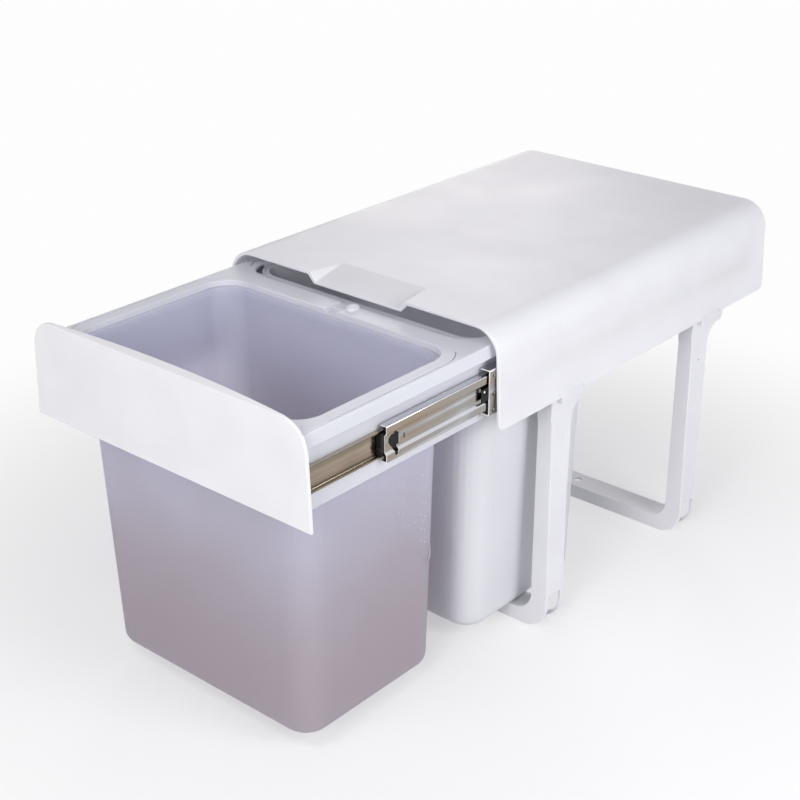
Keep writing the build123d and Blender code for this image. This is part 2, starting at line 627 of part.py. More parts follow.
def tub(inset, opening, bottom, top):
    """Return a solid tapered tub, inset from a bin's outer faces."""
    margin = RIM_OVERHANG + BIN_PLAY + inset
    half_top = OPENING_HALF - margin
    front_top = opening[0] + margin
    rear_top = opening[1] - margin
    upper = rounded(half_top, (front_top, rear_top), BIN_CORNER - inset)
    lower = rounded(BIN_HALF_BOTTOM - inset, (front_top + BIN_FRONT_DRAFT, rear_top - BIN_REAR_DRAFT),
                    BIN_CORNER - inset)
    body = loft([Pos(0, 0, bottom) * lower, Pos(0, 0, top) * upper], ruled=True)
    return fillet(body.faces().sort_by(Axis.Z)[0].edges(), BIN_EDGE - inset)


def bin_tub(opening):
    """Return one bin, hanging in its opening by its rim."""
    rim_y = (opening[0] + BIN_PLAY, opening[1] - BIN_PLAY)
    shape = tub(0, opening, BIN_BOTTOM, RIM_TOP)
    shape += along_z(rounded(OPENING_HALF - BIN_PLAY, rim_y, OPENING_CORNER - BIN_PLAY), LEDGE_TOP, RIM_TOP)
    shape -= tub(BIN_WALL, opening, BIN_BOTTOM + BIN_WALL, RIM_TOP + 0.001)
    return fillet(edges_at(shape, Axis.Z, RIM_TOP), RIM_ROUNDING)


# ---- writing --------------------------------------------------------------------------------
def write(name, shape):
    """Write one piece, moved so that the floor pattern's centre is the origin."""
    placed = Pos(0, -PATTERN_Y, 0) * shape
    export_step(placed, f"parts/{name}.step")


def write_pair(name, shape):
    """Write a right-hand piece and its left-hand twin."""
    write(f"right_{name}", shape)
    write(f"left_{name}", other_side(shape))


os.makedirs("parts", exist_ok=True)
write("housing_cover", housing_cover())
for hoop_name, hoop_front in HOOP_FRONTS.items():
    write(hoop_name, leg_hoop(hoop_front))
write_pair("slide_outer", outer_member())
write_pair("rear_stop", rear_stop())
write("outer_slide_screws", outer_slide_screws())

write_pair("slide_middle", MID_SHIFT * middle_member())
write_pair("slide_bumper", MID_SHIFT * middle_bumper())
write_pair("outer_cage", OUTER_CAGE_SHIFT * outer_cage())
write_pair("outer_balls", OUTER_CAGE_SHIFT * outer_ball_set())
write_pair("inner_cage", INNER_CAGE_SHIFT * inner_cage())
write_pair("inner_balls", INNER_CAGE_SHIFT * ball_set(INNER_BALLS))
write_pair("slide_inner", DRAWER_SHIFT * inner_member())

write("inner_slide_screws", DRAWER_SHIFT * inner_slide_screws())
write("drawer_frame", DRAWER_SHIFT * drawer_frame())
write("front_panel", DRAWER_SHIFT * front_panel())
write("panel_screws", DRAWER_SHIFT * panel_screws())
write("front_bin", DRAWER_SHIFT * bin_tub(OPENINGS[0]))
write("rear_bin", DRAWER_SHIFT * bin_tub(OPENINGS[1]))
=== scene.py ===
"""Dress the pull-out twin bin unit: its finishes, small parts, stage, light and camera.

Everything is in metres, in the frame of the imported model: X across, Y from front to rear, Z up
from the floor that the legs stand on.
"""

import json
import logging
import math
from dataclasses import dataclass
from enum import Enum
from typing import Any, Iterable, Sequence

import bmesh
import bpy
from mathutils import Matrix, Quaternion, Vector

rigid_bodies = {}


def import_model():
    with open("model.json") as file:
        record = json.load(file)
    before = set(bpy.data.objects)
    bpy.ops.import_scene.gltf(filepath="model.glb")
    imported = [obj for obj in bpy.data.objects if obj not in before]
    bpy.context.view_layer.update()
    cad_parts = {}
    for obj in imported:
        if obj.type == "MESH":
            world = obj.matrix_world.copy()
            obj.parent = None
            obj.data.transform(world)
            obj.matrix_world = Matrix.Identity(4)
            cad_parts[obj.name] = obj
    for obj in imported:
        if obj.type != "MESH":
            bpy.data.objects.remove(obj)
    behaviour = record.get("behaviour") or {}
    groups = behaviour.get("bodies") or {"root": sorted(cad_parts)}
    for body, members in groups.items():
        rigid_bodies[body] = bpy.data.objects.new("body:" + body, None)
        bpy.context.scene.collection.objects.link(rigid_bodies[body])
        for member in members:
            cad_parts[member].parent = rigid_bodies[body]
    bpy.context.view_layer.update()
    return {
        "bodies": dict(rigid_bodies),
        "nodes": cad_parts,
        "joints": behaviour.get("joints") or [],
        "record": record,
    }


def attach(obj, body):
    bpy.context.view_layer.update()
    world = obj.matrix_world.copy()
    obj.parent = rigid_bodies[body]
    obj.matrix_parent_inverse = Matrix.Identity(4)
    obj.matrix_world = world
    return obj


log = logging.getLogger("bin_unit")

Colour = tuple[float, float, float]
Point = tuple[float, float, float]
Pair = tuple[float, float]

MM = 0.001
PHOTO_SIDE = 800
SENSOR = 36.0


# ---- shader graphs ----------------------------------------------------------------------
# The Mix node's sockets when it mixes colours.
MIX_FACTOR, MIX_FIRST, MIX_SECOND, MIX_RESULT = 0, 6, 7, 2


def opaque(value: Any) -> Any:
    """Return a plain colour with full opacity added, and anything else as it is."""
    return (*value, 1.0) if isinstance(value, tuple) else value


def darker(colour: Colour, share: float) -> Colour:
    """Return a colour with each channel brought down to a share of itself."""
    return tuple(channel * share for channel in colour)


class Wire:
    """A socket's output in a shader graph, with its sums written as expressions."""

    def __init__(self, graph: "Graph", socket: bpy.types.NodeSocket) -> None:
        """Hold a socket and the graph that it belongs to."""
        self.graph = graph
        self.socket = socket

    def _maths(self, operation: str, first: Any, second: Any) -> "Wire":
        """Add a Math node.

        Args:
            operation: the Math node's operation.
            first: a wire or a number.
            second: a wire or a number.

        Returns:
            The node's output.
        """
        return self.graph.node("ShaderNodeMath", {"operation": operation}, {0: first, 1: second})

    def __add__(self, other: Any) -> "Wire":
        """Return self + other."""
        return self._maths("ADD", self, other)

    def __radd__(self, other: Any) -> "Wire":
        """Return other + self."""
        return self._maths("ADD", other, self)

    def __sub__(self, other: Any) -> "Wire":
        """Return self - other."""
        return self._maths("SUBTRACT", self, other)

    def __rsub__(self, other: Any) -> "Wire":
        """Return other - self."""
        return self._maths("SUBTRACT", other, self)

    def __mul__(self, other: Any) -> "Wire":
        """Return self * other."""
        return self._maths("MULTIPLY", self, other)

    def __rmul__(self, other: Any) -> "Wire":
        """Return other * self."""
        return self._maths("MULTIPLY", other, self)


class Graph:
    """A node graph, of a material or of the world."""

    def __init__(self, owner: Any) -> None:
        """Empty the owner's graph.

        Args:
            owner: a material or a world.
        """
        owner.use_nodes = True
        self.owner = owner
        self.tree = owner.node_tree
        self.tree.nodes.clear()

    @classmethod
    def material(cls, name: str) -> "Graph":
        """Return the graph of a new material."""
        return cls(bpy.data.materials.new(name))

    def node(self, kind: str, settings: dict[str, Any] | None = None,
             inputs: dict[Any, Any] | None = None, output: Any = 0) -> Wire:
        """Add one node.

        Args:
            kind: the node's type.
            settings: its properties; "stops" holds a ramp's (position, colour) pairs.
            inputs: numbers, colours or wires by socket name or number.
            output: the wanted output's name or number.

        Returns:
            The wanted output.
        """
        made = self.tree.nodes.new(kind)
        for key, value in (settings or {}).items():
            if key == "stops":
                self._set_stops(made.color_ramp, value)
            else:
                setattr(made, key, value)
        for key, value in (inputs or {}).items():
            if isinstance(value, Wire):
                self.tree.links.new(value.socket, made.inputs[key])
            else:
                made.inputs[key].default_value = value
        return Wire(self, made.outputs[output] if made.outputs else None)

    @staticmethod
    def _set_stops(ramp: Any, stops: Sequence[tuple[float, Sequence[float]]]) -> None:
        """Give a colour ramp its stops.

        Args:
            ramp: the ramp, with its first two stops.
            stops: the wanted (position, colour) pairs, in order.
        """
        for _ in range(len(stops) - len(ramp.elements)):
            ramp.elements.new(1.0)
        for element, (position, colour) in zip(ramp.elements, stops):
            element.position = position
            element.color = (*colour, 1.0)

    def place(self) -> Wire:
        """Return the place on the piece, in metres, which moves with the piece."""
        return self.node("ShaderNodeTexCoord", output="Object")

    def part(self, vector: Wire, axis: str) -> Wire:
        """Return a vector's X, Y or Z."""
        return self.node("ShaderNodeSeparateXYZ", None, {0: vector}, axis)

    def stretched(self, factors: Point) -> Wire:
        """Return the place, scaled along each axis."""
        return self.node("ShaderNodeMapping", None, {"Vector": self.place(), "Scale": factors})

    def noise(self, where: Wire, scale: float, detail: float = 2.0,
              roughness: float = 0.5) -> Wire:
        """Return noise about 0.5.

        Args:
            where: the coordinates.
            scale: waves per metre.
            detail: how many finer layers are added.
            roughness: how strong the finer layers are.

        Returns:
            The noise's value.
        """
        return self.node("ShaderNodeTexNoise", None, {
            "Vector": where, "Scale": scale, "Detail": detail, "Roughness": roughness})

    def ramp(self, value: Wire, stops: Sequence[tuple[float, Sequence[float]]]) -> Wire:
        """Return a colour or grey looked up from a value."""
        return self.node("ShaderNodeValToRGB", {"stops": stops}, {"Fac": value})

    def band(self, value: Wire, low: float, high: float) -> Wire:
        """Return 0 below low and 1 above high, smoothly."""
        return self.node("ShaderNodeMapRange", {"interpolation_type": "SMOOTHSTEP"}, {
            "Value": value, "From Min": low, "From Max": high, "To Min": 0.0, "To Max": 1.0})

    def blended(self, mask: Any, first: Any, second: Any) -> Wire:
        """Return one colour where the mask is 0 and another where it is 1."""
        return self.node("ShaderNodeMix", {"data_type": "RGBA"}, {
            MIX_FACTOR: mask, MIX_FIRST: opaque(first), MIX_SECOND: opaque(second)}, MIX_RESULT)

    def bumped(self, height: Wire, depth: float, strength: float = 1.0,
               normal: Wire | None = None) -> Wire:
        """Return a surface normal that follows a height from 0 to 1.

        Args:
            height: the height.
            depth: how deep the relief is, in metres.
            strength: how much of it shows.
            normal: a coarser relief under this one.

        Returns:
            The normal.
        """
        inputs: dict[Any, Any] = {"Height": height, "Distance": depth, "Strength": strength}
        if normal is not None:
            inputs["Normal"] = normal
        return self.node("ShaderNodeBump", None, inputs)

    def surface(self, **values: Any) -> Wire:
        """Return the main surface shader; underscores in names stand for spaces."""
        inputs = {key.replace("_", " "): opaque(value) for key, value in values.items()}
        return self.node("ShaderNodeBsdfPrincipled", None, inputs)

    def mixed(self, share: Any, first: Wire, second: Wire) -> Wire:
        """Return one shader where the share is 0 and another where it is 1."""
        return self.node("ShaderNodeMixShader", None, {0: share, 1: first, 2: second})

    def sheet(self, colour: Colour) -> Wire:
        """Return the shader of light that comes through a thin wall."""
        return self.node("ShaderNodeBsdfTranslucent", None, {"Color": opaque(colour)})

    def light(self, kind: str, colour: Colour, strength: float) -> Wire:
        """Return a shader that gives light.

        Args:
            kind: the node's type.
            colour: the light's colour.
            strength: how strong it is, where 1 is white.

        Returns:
            The shader.
        """
        return self.node(kind, None, {"Color": opaque(colour), "Strength": strength})

    def done(self, shader: Wire) -> Any:
        """Connect the graph's last shader to its output.

        Args:
            shader: the shader.

        Returns:
            The material or world that owns the graph.
        """
        is_world = isinstance(self.owner, bpy.types.World)
        kind = "ShaderNodeOutputWorld" if is_world else "ShaderNodeOutputMaterial"
        self.node(kind, None, {"Surface": shader})
        return self.owner


# ---- finishes -----------------------------------------------------------------------------
@dataclass(frozen=True)
class MouldedPlastic:
    """Injection-moulded plastic: fine grain, faint waves, soft wear and some light through it.

    Sizes of grain and waves are lengths on the piece; scales are waves per metre.
    """

    name: str
    colour: Colour
    roughness: float = 0.42
    through: float = 0.0
    glow: Colour = (0.88, 0.88, 0.93)
    grain: float = 0.9 * MM
    grain_depth: float = 0.010 * MM
    wave: float = 45 * MM
    wear: float = 0.06
    mirror: float = 0.4
    grain_roughness: float = 0.08
    wave_depth: float = 0.30 * MM
    wave_strength: float = 0.5
    wave_band: Pair = (0.3, 0.75)
    wave_shade: float = 0.97
    worn_scale: float = 9.0
    worn_band: Pair = (0.42, 0.74)
    scuff_scale: float = 70.0
    scuff_stretch: Point = (3.0, 0.25, 1.4)
    scuff_band: Pair = (0.62, 0.78)
    scuff_roughness: float = 0.03

    def build(self) -> bpy.types.Material:
        """Make the finish.

        Returns:
            The material.
        """
        graph = Graph.material(self.name)
        place = graph.place()
        grain = graph.noise(place, 1 / self.grain, 2.0, 0.6)
        waves = graph.noise(place, 1 / self.wave, 1.0)
        worn = graph.band(graph.noise(place, self.worn_scale), *self.worn_band)
        scratched = graph.noise(graph.stretched(self.scuff_stretch), self.scuff_scale, 3.0, 0.6)
        scuffs = graph.band(scratched, *self.scuff_band)
        tint = graph.blended(graph.band(waves, *self.wave_band), self.colour,
                             darker(self.colour, self.wave_shade))
        roughness = (self.roughness + (grain - 0.5) * self.grain_roughness
                     - worn * self.wear + scuffs * self.scuff_roughness)
        normal = graph.bumped(waves, self.wave_depth, self.wave_strength)
        normal = graph.bumped(grain, self.grain_depth, 1.0, normal)
        face = graph.surface(Base_Color=tint, Roughness=roughness,
                             Specular_IOR_Level=self.mirror, Normal=normal)
        if not self.through:
            return graph.done(face)
        return graph.done(graph.mixed(self.through, face, graph.sheet(self.glow)))


@dataclass(frozen=True)
class FrostedPlastic:
    """Thin translucent plastic with a frosted face: light comes through softly.

    Its colour is painted darker and warmer towards the foot and lighter near the rim: painted shade and warm
    reflected light. Scales are waves per metre.
    """

    name: str
    # rim and foot: the colours at the top and at the foot; their difference is painted shade and warm
    # reflected light.
    rim: Colour
    foot: Colour
    glow: Colour
    heights: Pair = (0.08, 0.33)
    through: float = 0.55
    roughness: float = 0.36
    mirror: float = 0.5
    cloud_scale: float = 9.0
    cloud_shift: float = 0.12
    flow_scale: float = 60.0
    flow_stretch: Point = (1.0, 1.0, 0.15)
    flow_depth: float = 0.08 * MM
    flow_strength: float = 0.6
    flow_roughness: float = 0.12
    grain_scale: float = 1100.0
    grain_depth: float = 0.008 * MM

    def build(self) -> bpy.types.Material:
        """Make the finish.

        Returns:
            The material.
        """
        graph = Graph.material(self.name)
        place = graph.place()
        clouds = graph.noise(place, self.cloud_scale, 3.0, 0.55)
        flow = graph.noise(graph.stretched(self.flow_stretch), self.flow_scale, 3.0)
        grain = graph.noise(place, self.grain_scale)
        height = graph.part(place, "Z") + (clouds - 0.5) * self.cloud_shift
        # Painted shade: the colour runs by height from the lighter rim colour down to a darker, warmer foot
        # colour.
        tint = graph.blended(graph.band(height, *self.heights), self.foot, self.rim)
        roughness = self.roughness + (flow - 0.5) * self.flow_roughness
        normal = graph.bumped(flow, self.flow_depth, self.flow_strength)
        normal = graph.bumped(grain, self.grain_depth, 1.0, normal)
        face = graph.surface(Base_Color=tint, Roughness=roughness,
                             Specular_IOR_Level=self.mirror, Normal=normal)
        return graph.done(graph.mixed(self.through, face, graph.sheet(self.glow)))


@dataclass(frozen=True)
class RolledSteel:
    """Bright zinc-plated strip: streaks along Y, an oil film, fine lines and pale cut ends.

    Faces that look up are painted brighter, a painted highlight, and faces that look down are painted in the
    brown tone, a painted reflection of the floor. Scales are waves per metre.
    """

    name: str
    bright: Colour = (0.70, 0.71, 0.76)
    plain: Colour = (0.36, 0.355, 0.345)
    # Brown tone: random streaks of oil film, and on faces that look down a painted floor reflection.
    oil_and_reflection: Colour = (0.36, 0.29, 0.215)
    dark: Colour = (0.20, 0.185, 0.15)
    cut: Colour = (0.93, 0.93, 0.92)
    roughness: float = 0.20
    rolled: Point = (1.0, 0.02, 1.0)
    streak_scale: float = 120.0
    drift_scale: float = 13.0
    drift_stretch: Point = (1.0, 0.8, 0.6)
    stops: tuple[float, ...] = (0.38, 0.46, 0.55, 0.67)
    line_scale: float = 2200.0
    line_depth: float = 0.02 * MM
    line_strength: float = 0.5
    line_roughness: float = 0.14
    blotch_scale: float = 90.0
    blotch_band: Pair = (0.45, 0.7)
    blotch_roughness: float = 0.08
    end_band: Pair = (0.75, 0.95)
    end_roughness: float = 0.25
    end_dullness: float = 0.6
    # Painted highlight and reflection: how far faces that look up turn bright and faces that look down turn
    # brown.
    facing_light_band: Pair = (0.2, 0.5)
    facing_light_share: float = 0.8

    def build(self) -> bpy.types.Material:
        """Make the finish.

        Returns:
            The material.
        """
        graph = Graph.material(self.name)
        rolled = graph.stretched(self.rolled)
        streaks = graph.noise(rolled, self.streak_scale, 1.5, 0.45)
        drift = graph.noise(graph.stretched(self.drift_stretch), self.drift_scale)
        lines = graph.noise(rolled, self.line_scale, 3.0, 0.6)
        spotted = graph.noise(graph.place(), self.blotch_scale, 4.0, 0.6)
        blotches = graph.band(spotted, *self.blotch_band)
        tone = graph.ramp(streaks * 0.5 + drift * 0.5, tuple(
            zip(self.stops, (self.dark, self.oil_and_reflection, self.plain, self.bright))))
        facing = graph.node("ShaderNodeTexCoord", output="Normal")
        upwards = graph.part(facing, "Z")
        ends = graph.band(-1 * graph.part(facing, "Y"), *self.end_band)
        # Painted highlight on faces that look up, painted brown reflection on faces that look down.
        for side, colour in ((upwards, self.bright), (-1 * upwards, self.oil_and_reflection)):
            tone = graph.blended(graph.band(side, *self.facing_light_band) * self.facing_light_share, tone, colour)
        roughness = (self.roughness + blotches * self.blotch_roughness
                     + (lines - 0.5) * self.line_roughness + ends * self.end_roughness)
        return graph.done(graph.surface(
            Base_Color=graph.blended(ends, tone, self.cut), Metallic=1 - ends * self.end_dullness,
            Roughness=roughness, Normal=graph.bumped(lines, self.line_depth, self.line_strength)))


@dataclass(frozen=True)
class PolishedSteel:
    """Ground bearing steel or plated screws, with hair-fine scratches and a little tarnish."""

    name: str
    colour: Colour = (0.78, 0.78, 0.77)
    roughness: float = 0.12
    scratch_scale: float = 3000.0
    scratch_stretch: Point = (1.0, 1.0, 0.1)
    scratch_depth: float = 0.01 * MM
    scratch_strength: float = 0.5
    tarnish_scale: float = 300.0
    tarnish_band: Pair = (0.45, 0.7)
    tarnish_shade: float = 0.8
    tarnish_roughness: float = 0.12

    def build(self) -> bpy.types.Material:
        """Make the finish.

        Returns:
            The material.
        """
        graph = Graph.material(self.name)
        scratches = graph.noise(graph.stretched(self.scratch_stretch), self.scratch_scale)
        spotted = graph.noise(graph.place(), self.tarnish_scale, 3.0)
        tarnish = graph.band(spotted, *self.tarnish_band)
        tint = graph.blended(tarnish, self.colour, darker(self.colour, self.tarnish_shade))
        return graph.done(graph.surface(
            Base_Color=tint, Metallic=1.0, Roughness=self.roughness + tarnish * self.tarnish_roughness,
            Normal=graph.bumped(scratches, self.scratch_depth, self.scratch_strength)))


class Finish(Enum):
    """The finishes of the unit; one that a record slot names has that slot's name."""

    WHITE_SHELL = MouldedPlastic("white_shell", (0.86, 0.86, 0.885), 0.44, 0.20)
    WHITE_PANEL = MouldedPlastic("white_panel", (0.86, 0.86, 0.885), 0.42, 0.06)
    WHITE_FRAME = MouldedPlastic("white_frame", (0.76, 0.77, 0.82), 0.36, 0.22, wave=60 * MM)
    WHITE_BIN = MouldedPlastic("white_bin", (0.86, 0.86, 0.89), 0.34, 0.32, wave=80 * MM)
    # The dots' colour is lighter than the frosted bin's: a painted highlight; their low roughness is real
    # gloss.
    SCALE_DOTS = MouldedPlastic("scale_dots", (0.78, 0.78, 0.88), 0.16, 0.3)
    # The foot colour is darker and warmer than the rim colour: painted shade and warm reflected light.
    FROSTED_BIN = FrostedPlastic("frosted_bin", (0.65, 0.67, 0.785), (0.46, 0.405, 0.42), (0.86, 0.84, 0.90))
    SLIDE_STEEL = RolledSteel("slide_steel")
    # Steel painted brown all over: a painted reflection of warm surroundings, for the inner slide members.
    BROWN_REFLECTION_STEEL = RolledSteel("brown_reflection_steel", (0.56, 0.49, 0.41), (0.38, 0.315, 0.25), (0.28, 0.22, 0.165))
    BALL_STEEL = PolishedSteel("ball_steel")
    SCREW_STEEL = PolishedSteel("screw_steel", (0.72, 0.71, 0.68), 0.25)
    BLACK_PLASTIC = MouldedPlastic("black_plastic", (0.006, 0.006, 0.007), 0.45, mirror=0.2)


# Nodes whose finish differs a little from the one that their record slot names; the inner slide members get
# steel painted brown, a painted warm reflection.
OWN_FINISH = {
    "front_panel": Finish.WHITE_PANEL,
    "left_slide_inner": Finish.BROWN_REFLECTION_STEEL,
    "right_slide_inner": Finish.BROWN_REFLECTION_STEEL,
}


class Palette:
    """The built materials, one for each finish."""

    def __init__(self) -> None:
        """Build every finish once."""
        self.materials = {finish.value.name: finish.value.build() for finish in Finish}

    def dress(self, piece: bpy.types.Object, finish: Finish) -> None:
        """Put a finish on every material slot of a piece.

        Args:
            piece: the piece.
            finish: the finish that it gets.
        """
        material = self.materials[finish.value.name]
        if not piece.material_slots:
            piece.data.materials.append(material)
        for place in piece.material_slots:
            place.material = material

    def dress_by_record(self, frame: dict[str, Any]) -> dict[str, Finish]:
        """Dress each CAD node in its own finish, or the one that its record slot names.


        Returns:
            The finish of each node.
        """
        slots = {row["node"]: row["material_slot"] for row in frame["record"]["subparts"]}
        by_slot = {finish.value.name: finish for finish in Finish}
        finishes = {name: OWN_FINISH.get(name, by_slot[slots[name]]) for name in frame["nodes"]}
        for name, piece in frame["nodes"].items():
            self.dress(piece, finishes[name])
            log.info("node %s in %s", name, finishes[name].value.name)
        return finishes


# ---- softened edges and small parts --------------------------------------------------------
@dataclass(frozen=True)
class SoftEdges:
    """The small roundings that a mould or a press leaves on a piece's sharp edges."""

    joined: float = 0.01 * MM
    sharp: float = 38.0
    plastic: float = 0.45 * MM
    steel: float = 0.12 * MM
    segments: int = 2

    def width(self, finish: Finish) -> float:
        """Choose the rounding's width.

        Args:
            finish: what the piece is made of.

        Returns:
            The width in metres, which is nothing for balls.
        """
        if finish is Finish.BALL_STEEL:
            return 0.0
        is_plastic = isinstance(finish.value, (MouldedPlastic, FrostedPlastic))
        return self.plastic if is_plastic else self.steel

    def soften(self, piece: bpy.types.Object, finish: Finish) -> None:
        """Round the sharp edges of a piece.

        Args:
            piece: the piece.
            finish: what it is made of, which says how wide the rounding is.
        """
        width = self.width(finish)
        if not width:
            return
        weld = piece.modifiers.new("joined", "WELD")
        weld.merge_threshold = self.joined
        bevel = piece.modifiers.new("soft_edges", "BEVEL")
        bevel.width = width
        bevel.segments = self.segments
        bevel.limit_method = "ANGLE"
        bevel.angle_limit = math.radians(self.sharp)
        bevel.use_clamp_overlap = True
        bevel.harden_normals = True


BAR_TIP = 0.35                 # a bar's end, as a share of its radius
CROSS_TAPER = 0.86             # a cross's outer face, as a share of its inner one


def circle(radius: float, sides: int) -> list[Pair]:
    """Return evenly spaced points on a circle about zero."""
    angles = [math.tau * step / sides for step in range(sides)]
    return [(radius * math.cos(angle), radius * math.sin(angle)) for angle in angles]


class Form:
    """A mesh that is put together from small solids."""

    def __init__(self, name: str) -> None:
        """Start an empty form."""
        self.name = name
        self.mesh = bmesh.new()

    def _row(self, centre: Vector, turn: Quaternion, outline: Sequence[Pair],
             height: float = 0.0) -> list[Any]:
        """Add one closed row of points.

        Args:
            centre: the point that the outline is about.
            turn: the turn from Z to the solid's own axis.
            outline: the points across that axis.
            height: how far along the axis the row lies.

        Returns:
            The row.
        """
        return [self.mesh.verts.new(centre + turn @ Vector((u, v, height))) for u, v in outline]

    def _skin(self, rows: Sequence[list[Any]]) -> None:
        """Join each row to the next one and close both ends.

        Args:
            rows: closed rows of equal length, from the foot to the head.
        """
        for low, high in zip(rows, rows[1:]):
            for step in range(len(low)):
                after = (step + 1) % len(low)
                self.mesh.faces.new((low[step], low[after], high[after], high[step]))
        self.mesh.faces.new(rows[-1])
        self.mesh.faces.new(rows[0][::-1])

    def lathe(self, profile: Sequence[Pair], place: Point, axis: Point, sides: int = 20) -> None:
        """Add a turned solid.

        Args:
            profile: radius and height pairs, from the foot to the head.
            place: where its foot's centre lies.
            axis: the way that it points.
            sides: how many facets it has.
        """
        turn = Vector(axis).to_track_quat("Z", "Y")
        self._skin([self._row(Vector(place), turn, circle(radius, sides), height)
                    for radius, height in profile])

    def bar(self, points: Sequence[Point], radius: float, sides: int = 12) -> None:
        """Add a round bar that follows points and tapers at both ends.

        Args:
            points: the bar's middle line.
            radius: its greatest radius.
            sides: how many facets it has.
        """
        line = [Vector(point) for point in points]
        last = len(line) - 1
        rows = []
        for index, point in enumerate(line):
            ahead = line[min(index + 1, last)] - line[max(index - 1, 0)]
            share = BAR_TIP if index in (0, last) else 1.0
            turn = ahead.to_track_quat("Z", "Y")
            rows.append(self._row(point, turn, circle(radius * share, sides)))
        self._skin(rows)

    def cross(self, place: Point, axis: Point, reach: float, width: float, depth: float) -> None:
        """Add a cross that stands just proud of a screw's head and narrows outwards.

        Args:
            place: the middle of the head.
            axis: the way that the head faces.
            reach: the length of each arm.
            width: the width of the arms.
            depth: the thickness of the cross.
        """
        turn = Vector(axis).to_track_quat("Z", "Y")
        half = width / 2
        outline = []
        arm = [(reach, -half), (reach, half), (half, half)]
        for _ in range(4):
            outline += arm
            arm = [(-v, u) for u, v in arm]
        narrow = [(u * CROSS_TAPER, v * CROSS_TAPER) for u, v in outline]
        self._skin([self._row(Vector(place), turn, outline),
                    self._row(Vector(place), turn, narrow, depth)])

    def done(self, palette: Palette, finish: Finish, body: str, slot: str = "") -> bpy.types.Object:
        """Turn the form into a piece that rides a body.

        Args:
            palette: the built materials.
            finish: what the piece is made of.
            body: the body that carries it.
            slot: the record's material slot, where it isn't named like the finish; not used.

        Returns:
            The piece.
        """
        bmesh.ops.recalc_face_normals(self.mesh, faces=self.mesh.faces)
        data = bpy.data.meshes.new(self.name)
        for face in self.mesh.faces:
            face.smooth = len(face.verts) == 4
        self.mesh.to_mesh(data)
        self.mesh.free()
        piece = bpy.data.objects.new(self.name, data)
        bpy.context.scene.collection.objects.link(piece)
        palette.dress(piece, finish)
        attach(piece, body)
        log.info("piece %s in %s on %s, %d faces",
                 self.name, finish.value.name, body, len(data.polygons))
        return piece


@dataclass(frozen=True)
class BinWall:
    """The right-hand wall of the front bin, which leans in towards its foot.

    The foot and the head are each a place across and a height, in millimetres.
    """

    foot: Pair = (131.8, 17.0)
    head: Pair = (141.2, 339.0)

    @property
    def lean(self) -> float:
        """Return how far the wall leans out for each millimetre of height."""
        return (self.head[0] - self.foot[0]) / (self.head[1] - self.foot[1])

    def point(self, y: float, z: float) -> Point:
        """Return the point of the wall, in metres, at a depth and a height in millimetres."""
        x = self.foot[0] + (z - self.foot[1]) * self.lean
        return (x * MM, y * MM, z * MM)

    def outwards(self) -> Point:
        """Return the way that the wall faces."""
        return (1.0, 0.0, -self.lean)


@dataclass(frozen=True)
class LitreScale:
    """Moulded dots on the front bin's wall, in pairs up two columns, and a curved grip rib.

    Sizes are in millimetres; a lone dot and a point of the rib are a depth and a height.
    """

    wall: BinWall = BinWall()
    front_column: Pair = (-330.4, -325.2)
    rear_column: Pair = (-299.0, -293.3)
    front_heights: tuple[float, ...] = (245.0, 233.0, 219.2, 205.4)
    rear_heights: tuple[float, ...] = (244.0, 231.4, 216.7, 203.2, 189.3, 175.0, 161.8)
    lone_dots: tuple[Pair, ...] = ((-325.1, 191.1), (-307.3, 187.1), (-295.8, 183.0))
    step: float = 3.2
    dot: float = 0.8
    relief: float = 0.5
    sunk: Pair = (0.1, 0.4)
    dome: tuple[float, ...] = (0.0, 0.4, 0.8, 1.15, 1.45)
    sides: int = 16
    rib: tuple[Pair, ...] = (
        (-308.1, 172.3), (-305.9, 166.0), (-303.4, 160.0), (-297.9, 150.0), (-294.3, 144.2),
        (-291.0, 139.8), (-288.6, 137.6), (-286.6, 137.6), (-285.4, 141.0), (-285.0, 147.0), (-285.1, 152.9))
    rib_radius: float = 0.75

    def dots(self) -> Iterable[Pair]:
        """Place the dots.

        Yields:
            Each dot's depth and height on the wall.
        """
        for (front, rear), heights in ((self.front_column, self.front_heights),
                                       (self.rear_column, self.rear_heights)):
            for height in heights:
                yield front, height + self.step / 2
                yield rear, height - self.step / 2
        yield from self.lone_dots

    def build(self, palette: Palette) -> None:
        """Make the dots and the rib.

        Args:
            palette: the built materials.
        """
        form = Form("litre_scale_dots")
        shallow, deep = self.sunk
        profile = [(self.dot * MM, -deep * MM)]
        profile += [(self.dot * MM * math.cos(angle), (self.relief * math.sin(angle) - shallow) * MM)
                    for angle in self.dome]
        for y, z in self.dots():
            form.lathe(profile, self.wall.point(y, z), self.wall.outwards(), self.sides)
        # The dots get the lighter finish, a painted highlight.
        form.done(palette, Finish.SCALE_DOTS, "drawer", "frosted_bin")
        form = Form("grip_rib")
        form.bar([self.wall.point(y, z) for y, z in self.rib], self.rib_radius * MM)
        form.done(palette, Finish.FROSTED_BIN, "drawer")


@dataclass(frozen=True)
class GateMark:
    """The ring and nub that the mould leaves in the middle of a bin's floor, in millimetres."""

    name: str
    centre_y: float
    floor: float = 19.2
    ring: float = 15.0
    ring_width: float = 0.9
    relief: float = 0.35
    nub: float = 3.0
    nub_top: float = 2.4
    sunk: float = 0.3
    steps: int = 48

    def build(self, palette: Palette, finish: Finish) -> None:
        """Make the ring and the nub.

        Args:
            palette: the built materials.
            finish: the bin's finish.
        """
        form = Form(self.name)
        around = circle(self.ring, self.steps)
        form.bar([(x * MM, (self.centre_y + y) * MM, self.floor * MM) for x, y in (*around, around[0])],
                 self.ring_width * MM / 2)
        profile = ((self.nub, -self.sunk), (self.nub, self.relief / 2), (self.nub_top, self.relief))
        form.lathe([(radius * MM, height * MM) for radius, height in profile],
                   (0.0, self.centre_y * MM, self.floor * MM), (0.0, 0.0, 1.0))
        form.done(palette, finish, "drawer")


